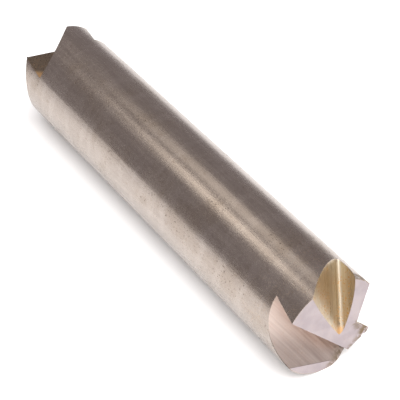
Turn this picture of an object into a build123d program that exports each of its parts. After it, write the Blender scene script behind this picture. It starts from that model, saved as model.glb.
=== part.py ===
from build123d import *
import math
import os

# End mill, double ended, lying on its side.
# The tool axis runs along X, the reference end faces +X, and the bar rests on Z = 0.
# The ground features of an end are drawn on an end face at Z = 0 with the bar below
# it, in radii of the bar, and angles run anticlockwise as seen looking at that face.

# Bar, in millimetres.
diameter = 19.05
overall_length = 88.9
radius = diameter / 2

# Roll of the reference end about the tool axis, measured from +Y towards +Z.
roll = 33.7
# The second end is the first one turned half a turn about this direction.
turnover_angle = 65.0

# Chip gash of the short tooth. Its root climbs from the outside to the tip near the
# centre, and across the root it has a steep rake wall and a slightly hollow floor.
gash_tip = (0.0, -0.44)
gash_root_radius = 0.07
rake_wall_middle = (-0.012, 0.27)
rake_wall_top = (0.155, 0.60)
reference_gash = {
    "root_angle": 20.6,
    "root_depth": 0.645,
    "floor_middle": (0.60, 0.262),
    "floor_end": (1.02, 0.482),
}
second_gash = {
    "root_angle": 12.0,
    "root_depth": 0.70,
    "floor_middle": (0.62, 0.12),
    "floor_end": (1.15, 0.45),
}
# The second end's gash stops sooner, at a flat rake wall through its root and lip.
second_wall_lip_angle = 19.0
second_wall_inner = (0.26, 0.42)

# Long lip: a straight edge across the end face, with a hollow-ground gash in front.
# The hollow starts at a line on the end face and gets deeper towards the lip.
long_lip_outer = (-0.40, 0.90)
long_lip_inner = (-0.09, -0.81)
long_lip_rake = 16.0
hollow_start = (-0.87, -0.14)
hollow_end = (-0.31, -0.89)
hollow_middle = (0.50, 0.41)
hollow_full = (1.30, 0.585)

# Clearance behind the short tooth. It falls away from a line on the end face, and
# the second long lip stops it. The second end's is flatter and starts nearer the lip.
reference_clearance = {
    "start": (1.00, 0.06),
    "end": (0.36, -0.50),
    "slope": 53.0,
}
second_clearance = {
    "start": (0.92, 0.39),
    "end": (0.36, -0.50),
    "slope": 40.0,
}
second_lip_outer = (0.48, -0.93)

# Small flat where the wheel ran out at the rim, opposite the chip gash.
rim_flat_start = (-0.36, -0.88)
rim_flat_angle = 35.0

# Chips broken out of the worn rim of the reference end.
chip_radius = 0.05
chip_places = [
    (-0.26, -0.93, 0.01),
    (-0.19, -0.91, 0.02),
    (0.29, -0.94, 0.02),
]

# Cutters reach well past the bar.
reach = 4 * radius
upward = Vector(0, 0, 1)


def at(x, y, z=0.0):
    """A point of the end, given in radii from the centre of the end face."""
    return Vector(x * radius, y * radius, z * radius)


def on_rim(angle, depth):
    """A point of the outside diameter at an angle, some radii behind the end face."""
    turn = math.radians(angle)
    return at(math.cos(turn), math.sin(turn), -depth)


def space_beyond(point, normal):
    """Everything on the side of a plane that its normal points to."""
    frame = Plane(origin=point, z_dir=normal)
    return frame.location * Pos(0, 0, reach / 2) * Box(reach, reach, reach)


def level_normal(start, end, toward):
    """The level direction square to a line, on the side of a given direction."""
    normal = (end - start).cross(upward).normalized()
    if normal.dot(toward) < 0:
        normal = normal * -1
    return normal


def chip_gash(root_angle, root_depth, floor_middle, floor_end):
    """The bright gash in front of the short lip, cut along one straight root."""
    root = at(*gash_tip)
    along = (on_rim(root_angle, root_depth) - root).normalized()
    across = upward.cross(along).normalized()
    frame = Plane(origin=root, x_dir=across, z_dir=along * -1)
    side = 1 if frame.y_dir.Z > 0 else -1
    corner = (0, 0)
    wall_middle = (rake_wall_middle[0] * radius, side * rake_wall_middle[1] * radius)
    wall_top = (rake_wall_top[0] * radius, side * rake_wall_top[1] * radius)
    middle = (floor_middle[0] * radius, side * floor_middle[1] * radius)
    end = (floor_end[0] * radius, side * floor_end[1] * radius)
    rake_wall = ThreePointArc(corner, wall_middle, wall_top)
    floor = ThreePointArc(corner, middle, end)
    sky = side * 2 * radius
    mouth = Polyline(wall_top, (wall_top[0] * 2, sky), (end[0] * 1.5, sky), end)
    outline = make_face([rake_wall, mouth, floor])
    bottom = outline.vertices().sort_by_distance((0, 0, 0))[0]
    outline = fillet(bottom, gash_root_radius * radius)
    return frame.location * extrude(outline, amount=reach, both=True)


def second_chip_gash():
    """The chip gash of the second end, which leaves more of the tooth standing."""
    corner = on_rim(second_gash["root_angle"], second_gash["root_depth"])
    lip_corner = on_rim(second_wall_lip_angle, 0)
    inner = at(*second_wall_inner)
    normal = (lip_corner - corner).cross(inner - corner).normalized()
    if normal.Y < 0:
        normal = normal * -1
    return chip_gash(**second_gash) & space_beyond(corner, normal)


def long_tooth_gash():
    """The hollow-ground gash whose steep wall is the rake face of the long lip."""
    start = at(*hollow_start)
    end = at(*hollow_end)
    along = (end - start).normalized()
    inward = level_normal(start, end, at(0, 0) - start)
    frame = Plane(origin=start, x_dir=inward, z_dir=along)
    side = 1 if frame.y_dir.Z > 0 else -1
    middle = (hollow_middle[0] * radius, -side * hollow_middle[1] * radius)
    full = (hollow_full[0] * radius, -side * hollow_full[1] * radius)
    floor = ThreePointArc((0, 0), middle, full)
    sky = side * radius
    walls = Polyline(full, (full[0], sky), (0, sky), (0, 0))
    hollow = extrude(make_face([floor, walls]), amount=reach, both=True)
    lip_outer = at(*long_lip_outer)
    lip_inner = at(*long_lip_inner)
    rake = math.radians(long_lip_rake)
    away = level_normal(lip_inner, lip_outer, start - lip_inner)
    wall_normal = away * math.cos(rake) - upward * math.sin(rake)
    return (frame.location * hollow) & space_beyond(lip_inner, wall_normal)


def short_tooth_clearance(start, end, slope):
    """The clearance behind the short tooth, up to the second long lip."""
    start = at(*start)
    end = at(*end)
    outward = level_normal(start, end, end - at(0, 0))
    tilt = math.radians(slope)
    normal = upward * math.cos(tilt) + outward * math.sin(tilt)
    lip_outer = at(*second_lip_outer)
    rake = math.radians(long_lip_rake)
    away = level_normal(end, lip_outer, start - end)
    wall_normal = away * math.cos(rake) - upward * math.sin(rake)
    return space_beyond(end, normal) & space_beyond(end, wall_normal)


def rim_flat():
    """The small flat at the rim, tilted away from the end face."""
    start = at(*rim_flat_start)
    outward = level_normal(start, at(*second_lip_outer), start)
    slope = math.radians(rim_flat_angle)
    normal = outward * math.cos(slope) + upward * math.sin(slope)
    return space_beyond(start, normal)


bar = Pos(0, 0, -overall_length / 2) * Cylinder(radius, overall_length)

# Grind the reference end.
shared_cutters = [long_tooth_gash(), rim_flat()]
tool = bar - chip_gash(**reference_gash)
tool = tool - short_tooth_clearance(**reference_clearance)
for cutter in shared_cutters:
    tool = tool - cutter
for place in chip_places:
    tool = tool - Pos(at(*place)) * Sphere(chip_radius * radius)

# Turn the bar over and grind the second end.
turn = math.radians(turnover_angle)
turnover = Axis((0, 0, -overall_length / 2), (math.cos(turn), math.sin(turn), 0))
tool = tool - second_chip_gash().rotate(turnover, 180)
tool = tool - short_tooth_clearance(**second_clearance).rotate(turnover, 180)
for cutter in shared_cutters:
    tool = tool - cutter.rotate(turnover, 180)

# Lay the finished tool down with the reference end towards +X.
turn = math.radians(roll)
seat = Plane(
    origin=(overall_length / 2, 0, radius),
    x_dir=(0, math.cos(turn), math.sin(turn)),
    z_dir=(1, 0, 0),
)
tool_body = seat.location * tool

os.makedirs("parts", exist_ok=True)
export_step(tool_body, "parts/tool_body.step")
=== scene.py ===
import bpy
import math
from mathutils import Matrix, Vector


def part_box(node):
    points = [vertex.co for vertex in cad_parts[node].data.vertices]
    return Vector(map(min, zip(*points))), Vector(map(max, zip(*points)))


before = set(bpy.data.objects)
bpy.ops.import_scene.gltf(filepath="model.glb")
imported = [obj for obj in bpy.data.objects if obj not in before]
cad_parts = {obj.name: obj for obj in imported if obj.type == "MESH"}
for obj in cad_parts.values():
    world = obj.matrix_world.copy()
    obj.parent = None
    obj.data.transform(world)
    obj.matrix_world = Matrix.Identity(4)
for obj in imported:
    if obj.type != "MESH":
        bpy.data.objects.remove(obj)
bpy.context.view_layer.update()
scene = bpy.context.scene

# View. A long lens looks down on the tool from beyond the reference end, about a tenth
# of a turn off its axis. The camera stands level and aims a little past the middle.
low, high = (Vector(corner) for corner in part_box("tool_body"))
radius = (high.y - low.y) / 2
half_length = (high.x - low.x) / 2
middle = (low + high) / 2
view_turn = math.radians(56.4)
view_rise = math.radians(39.75)
view_distance = 27.03 * radius
aim = middle + radius * Vector((0.368, 0.185, -0.245))
toward_camera = Vector((
    math.sin(view_turn) * math.cos(view_rise),
    -math.cos(view_turn) * math.cos(view_rise),
    math.sin(view_rise),
))
camera_data = bpy.data.cameras.new("camera")
camera_data.sensor_width = 36
camera_data.lens = 127.0
camera_data.clip_start = 0.01
camera = bpy.data.objects.new("camera", camera_data)
camera.location = aim + view_distance * toward_camera
camera.rotation_euler = (-toward_camera).to_track_quat("-Z", "Y").to_euler()
scene.collection.objects.link(camera)
scene.camera = camera

# Bar. One piece of high-speed steel, ground round over its whole length, then worn
# dull in the holder. Fine scratches and stains run along it, with small dark pits.
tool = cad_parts["tool_body"]
steel = bpy.data.materials.new("tool_steel")
steel.use_nodes = True
for slot in tool.material_slots:
    slot.material = steel
shader = steel.node_tree.nodes["Principled BSDF"]


class Shade:
    """A socket of the steel's nodes, with arithmetic that adds Math nodes."""

    def __init__(self, tree, socket=None):
        self.tree = tree
        self.socket = socket

    def node(self, kind, settings, sockets, output=0):
        made = self.tree.nodes.new("ShaderNode" + kind)
        for name, value in settings.items():
            setattr(made, name, value)
        for name, value in sockets.items():
            if isinstance(value, Shade):
                self.tree.links.new(value.socket, made.inputs[name])
            else:
                made.inputs[name].default_value = value
        return Shade(self.tree, made.outputs[output])

    def math(self, operation, *values):
        return self.node("Math", {"operation": operation}, dict(enumerate(values)))

    def __add__(self, other):
        return self.math("ADD", self, other)

    def __sub__(self, other):
        return self.math("SUBTRACT", self, other)

    def __rsub__(self, other):
        return self.math("SUBTRACT", other, self)

    def __mul__(self, other):
        return self.math("MULTIPLY", self, other)

    def __truediv__(self, other):
        return self.math("DIVIDE", self, other)

    def __rtruediv__(self, other):
        return self.math("DIVIDE", other, self)

    __radd__ = __add__
    __rmul__ = __mul__

    def rises(self, start, end):
        """0 up to start and 1 from end on, or the other way if start is larger."""
        sockets = {"Value": self, "From Min": start, "From Max": end}
        return self.node("MapRange", {"interpolation_type": "SMOOTHSTEP"}, sockets)

    def feeds(self, socket):
        self.tree.links.new(self.socket, socket)


nodes = Shade(steel.node_tree)


def place(x, y, z):
    """A vector made of three numbers or sockets."""
    return nodes.node("CombineXYZ", {}, {"X": x, "Y": y, "Z": z})


def grain(where, scale, detail=2.0):
    """Smooth noise around 0.5 at a place."""
    sockets = {"Vector": where, "Scale": scale, "Detail": detail}
    return nodes.node("TexNoise", {"noise_dimensions": "3D"}, sockets, "Fac")


def blend(mask, below, above):
    """One colour laid over another where the mask is 1."""
    return nodes.node("Mix", {"data_type": "RGBA"}, {0: mask, 6: below, 7: above}, 2)


def lerp(mask, below, above):
    """One number laid over another where the mask is 1."""
    return below + mask * (above - below)


def colour(red, green, blue):
    return (red, green, blue, 1.0)


# Every pattern is laid out in radii of the bar from its middle.
object_place = nodes.node("TexCoord", {}, {}, "Object")
along, sideways, upwards = (
    (nodes.node("SeparateXYZ", {}, {"Vector": object_place}, axis) - centre) / radius
    for axis, centre in zip("XYZ", middle)
)
from_axis = nodes.math("SQRT", sideways * sideways + upwards * upwards)
on_bar = from_axis.rises(0.985, 0.993)

streaks = grain(place(along * 0.08, sideways, upwards), 11.0, 4.0)
hairlines = grain(place(along * 0.12, sideways, upwards), 46.0)
clouds = grain(place(along * 0.6, sideways, upwards), 1.6, 4.0)
mottle = grain(place(along * 0.7, sideways, upwards), 24.0, 3.0)
fine = grain(place(along, sideways, upwards), 34.0)
flecks = grain(place(along * 0.5, sideways, upwards), 17.0, 3.0)
grip_marks = grain(place(along, sideways * 0.3, upwards * 0.3), 3.2)
pit_field = grain(place(along, sideways, upwards), 27.0, 1.0)
pits = pit_field.rises(0.66, 0.72) * clouds.rises(0.45, 0.60)

dull_steel = colour(0.33, 0.285, 0.255)
ground_steel = colour(0.385, 0.335, 0.30)
bright_steel = colour(0.44, 0.39, 0.345)
gripped_steel = colour(0.46, 0.41, 0.375)
brown_stain = colour(0.315, 0.26, 0.215)
dark_fleck = colour(0.24, 0.19, 0.15)
pit_dirt = colour(0.10, 0.075, 0.055)
bar_colour = blend(streaks.rises(0.3, 0.7), dull_steel, ground_steel)
bar_colour = blend(mottle.rises(0.35, 0.65) * 0.3, bar_colour, bright_steel)
bar_colour = blend(clouds.rises(0.42, 0.66) * 0.6, bar_colour, brown_stain)
bar_colour = blend(grip_marks.rises(0.50, 0.62) * 0.3, bar_colour, gripped_steel)
bar_colour = blend(flecks.rises(0.60, 0.70) * 0.35, bar_colour, dark_fleck)
bar_colour = blend(pits * 0.75, bar_colour, pit_dirt)
bar_roughness = 0.165 + 0.07 * streaks + 0.08 * mottle + 0.05 * clouds + 0.2 * pits
bar_height = 0.2 * hairlines + 0.12 * mottle - 0.4 * pits

# Both ends are ground the same way. Their patterns use the end's own directions, u and
# v across its face and depth into the bar. The second end is the first one turned half
# a turn about a line across the bar.
face_roll = math.radians(33.7)
turnover = math.radians(2 * 65.0)
second = nodes.math("LESS_THAN", along, 0.0)
first_u = sideways * math.cos(face_roll) + upwards * math.sin(face_roll)
first_v = upwards * math.cos(face_roll) - sideways * math.sin(face_roll)
second_u = first_u * math.cos(turnover) + first_v * math.sin(turnover)
second_v = first_u * math.sin(turnover) - first_v * math.cos(turnover)
u = lerp(second, first_u, second_u)
v = lerp(second, first_v, second_v)
depth = half_length / radius - nodes.math("ABSOLUTE", along)
ground_place = place(u, v, depth)

# End face. It is ground fine and flat across the end of the bar, and handling has
# since blotched and smeared it. It looks a little lilac beside the bar.
on_face = depth.rises(0.006, 0.003) * (1.0 - on_bar)
blotches = grain(ground_place, 2.6, 5.0)
smears = grain(place(u + v * 0.4, v * 0.25 - u * 0.1, 0.0), 22.0, 3.0)
lilac_grey = colour(0.325, 0.28, 0.29)
pale_lilac = colour(0.39, 0.34, 0.345)
face_colour = blend(blotches.rises(0.35, 0.65), lilac_grey, pale_lilac)
face_roughness = 0.30 + 0.12 * blotches
face_height = 0.5 * smears + 0.3 * fine

# Long lip's gash. A dished grinding wheel left even lines along it, and old coolant
# has stained it pinkish tan.
lip_offset = 0.237
lip_slant = 0.181
hollow_slope = 0.287
from_lip = (-lip_offset - lip_slant * v - u) / math.hypot(1.0, lip_slant)
in_hollow = (from_lip + hollow_slope * depth).rises(-0.03, -0.01)
in_hollow = in_hollow * (1.0 - on_bar) * (1.0 - on_face)
hollow_lines = grain(place(u, v * 0.03, depth * 0.03), 30.0, 3.0)
hollow_bands = grain(place(u, v * 0.05, depth * 0.05), 7.0)
pinkish_tan = colour(0.51, 0.42, 0.375)
pale_tan = colour(0.60, 0.51, 0.46)
coolant_stain = colour(0.56, 0.44, 0.39)
hollow_colour = blend(hollow_lines.rises(0.3, 0.7), pinkish_tan, pale_tan)
hollow_colour = blend(hollow_bands.rises(0.5, 0.7) * 0.5, hollow_colour, coolant_stain)
hollow_roughness = 0.32 + 0.12 * hollow_lines
hollow_height = 0.5 * hollow_lines + 0.15 * fine

# Short lip's gash. Ground with a round-nosed wheel along one root, it is tinted straw
# and gold by heat, and its grinding lines run along the root. The second end's gash is
# coloured dark brown, much darker than the first end's.
first_root_fall = (0.936, 0.792, -0.645)
second_root_fall = (0.978, 0.648, -0.70)


def lines_along(root_fall):
    """Grinding lines that run along a root, given where it falls to from its tip."""
    fall = Vector(root_fall).normalized()
    side = Vector((0.0, 0.0, 1.0)).cross(fall).normalized()
    top = fall.cross(side)
    parts = [
        u * (axis.x * scale) + v * (axis.y * scale) - depth * (axis.z * scale)
        for axis, scale in ((side, 1.0), (top, 1.0), (fall, 0.03))
    ]
    return grain(place(*parts), 34.0, 3.0)


gash_lines = lerp(second, lines_along(first_root_fall), lines_along(second_root_fall))
gash_tint = grain(ground_place, 3.2, 3.0)
straw = colour(0.44, 0.37, 0.265)
pale_straw = colour(0.58, 0.51, 0.40)
gold = colour(0.50, 0.405, 0.285)
second_gash_dark_brown = colour(0.15, 0.11, 0.08)
gash_colour = blend(gash_lines.rises(0.3, 0.7), straw, pale_straw)
gash_colour = blend(gash_tint.rises(0.4, 0.65) * 0.6, gash_colour, gold)
# Dark brown laid over most of the second end's gash, darker than the first end's.
gash_colour = blend(second * 0.8, gash_colour, second_gash_dark_brown)
gash_roughness = 0.22 + 0.14 * gash_lines
gash_height = 0.8 * gash_lines


def over_the_tool(lay, gash, hollow, face, bar):
    """One finish made of four, each where its own surface is."""
    return lay(on_bar, lay(on_face, lay(in_hollow, gash, hollow), face), bar)


metal_colour = over_the_tool(blend, gash_colour, hollow_colour, face_colour, bar_colour)
metal_roughness = over_the_tool(
    lerp, gash_roughness, hollow_roughness, face_roughness, bar_roughness
)
metal_height = over_the_tool(lerp, gash_height, hollow_height, face_height, bar_height)

# Worn rim. On the first end, the rim opposite the short lip has crumbled. Dirt fills
# the break and the land beside it, and darkens the rim's top corner.
rim_breaks = grain(ground_place, 11.0, 4.0)
rim_break = v.rises(-0.62, -0.84) * u.rises(-0.62, -0.45) * from_axis.rises(0.74, 0.93)
dirty_land = u.rises(0.22, 0.34) * v.rises(-0.36, -0.50)
top_corner = u.rises(0.86, 0.92) * v.rises(0.0, 0.12) * on_bar * depth.rises(0.22, 0.10)
worn = (rim_break + dirty_land * 0.8) * rim_breaks.rises(0.36, 0.54) * depth.rises(0.30, 0.08)
worn = nodes.math("MAXIMUM", worn, top_corner * rim_breaks.rises(0.30, 0.50))
worn = worn * (1.0 - second)
packed_dirt = colour(0.20, 0.15, 0.10)
surface_colour = blend(worn * 0.85, metal_colour, packed_dirt)
surface_roughness = lerp(worn, metal_roughness, 0.55)
surface_height = metal_height - 1.5 * worn * fine

# Rust. Fine specks of brown rust lie mostly in the short lips' gashes, with a patch
# where each root ends: at its tip on the first end, and at the outside on the second.
first_root_tip = (0.03, -0.36, 0.04)
second_root_end = (0.95, 0.21, 0.66)


def near(centre, reach):
    """1 at a place of an end, and 0 from some radii away."""
    gaps = [axis - value for axis, value in zip((u, v, depth), centre)]
    squares = gaps[0] * gaps[0] + gaps[1] * gaps[1] + gaps[2] * gaps[2]
    return nodes.math("SQRT", squares).rises(reach, reach * 0.4)


in_gash = (1.0 - on_face) * (1.0 - in_hollow) * (1.0 - on_bar)
rust_specks = grain(ground_place, 32.0, 3.0).rises(0.56, 0.64)
rust_patches = grain(ground_place, 3.0).rises(0.42, 0.56)
rust_spread = depth.rises(1.9, 0.6) * (0.15 + 0.85 * in_gash)
tip_patch = near(first_root_tip, 0.16) * (1.0 - second)
corner_patch = near(second_root_end, 0.26) * second * 0.7
rust = rust_specks * rust_patches * rust_spread * (1.0 - 0.7 * second)
rust = nodes.math("MAXIMUM", rust, (tip_patch + corner_patch) * in_gash * 0.8)
brown_rust = colour(0.46, 0.25, 0.09)
surface_colour = blend(rust, surface_colour, brown_rust)
surface_roughness = lerp(rust, surface_roughness, 0.6)
metallic = 1.0 - 0.5 * rust

surface_colour.feeds(shader.inputs["Base Color"])
surface_roughness.feeds(shader.inputs["Roughness"])
metallic.feeds(shader.inputs["Metallic"])
bump = nodes.node("Bump", {}, {"Strength": 0.25, "Distance": 0.0002, "Height": surface_height})
bump.feeds(shader.inputs["Normal"])

# Studio. The tool lies on a plain white table, wide enough to fill the view, in a grey
# room. Large soft lights shine from above and the sides, and two small warm ones put
# stripes along the bar.
bpy.ops.mesh.primitive_plane_add(size=3.0, location=(0, 0, low.z))
table = bpy.context.object
table.name = "table"
white = bpy.data.materials.new("white_table")
white.use_nodes = True
table_paint = white.node_tree.nodes["Principled BSDF"]
table_paint.inputs["Base Color"].default_value = colour(0.92, 0.92, 0.92)
table_paint.inputs["Roughness"].default_value = 0.9
table.data.materials.append(white)
scene.world = bpy.data.worlds.new("room")
scene.world.use_nodes = True
room = scene.world.node_tree.nodes["Background"]
room.inputs["Color"].default_value = colour(0.385, 0.345, 0.35)
scene.view_settings.view_transform = "Standard"


def softbox(name, target, direction, distance, size, watts, tint=(1.0, 1.0, 1.0)):
    """A square soft light that faces a point of the bar."""
    data = bpy.data.lights.new(name, "AREA")
    data.shape = "SQUARE"
    data.size = size
    data.energy = watts
    data.color = tint
    light = bpy.data.objects.new(name, data)
    away = Vector(direction).normalized()
    light.location = target + away * distance
    light.rotation_euler = (-away).to_track_quat("-Z", "Y").to_euler()
    scene.collection.objects.link(light)


reference_end = middle + Vector((half_length, 0, 0))
warm = (1.0, 0.94, 0.84)
softbox("overhead", middle, (0.50, -0.05, 1.0), distance=0.65, size=0.8, watts=9.0)
softbox("side", middle, (0.30, -1.0, 0.70), distance=0.7, size=0.6, watts=1.0)
softbox("front", reference_end, (0.80, -0.25, 0.45), distance=0.6, size=0.5, watts=1.2)
softbox("stripe", reference_end, (-0.64, -0.19, 0.74),
        distance=0.35, size=0.075, watts=0.042, tint=warm)
softbox("second_stripe", reference_end, (-0.64, 0.16, 0.74),
        distance=0.35, size=0.09, watts=0.030, tint=warm)
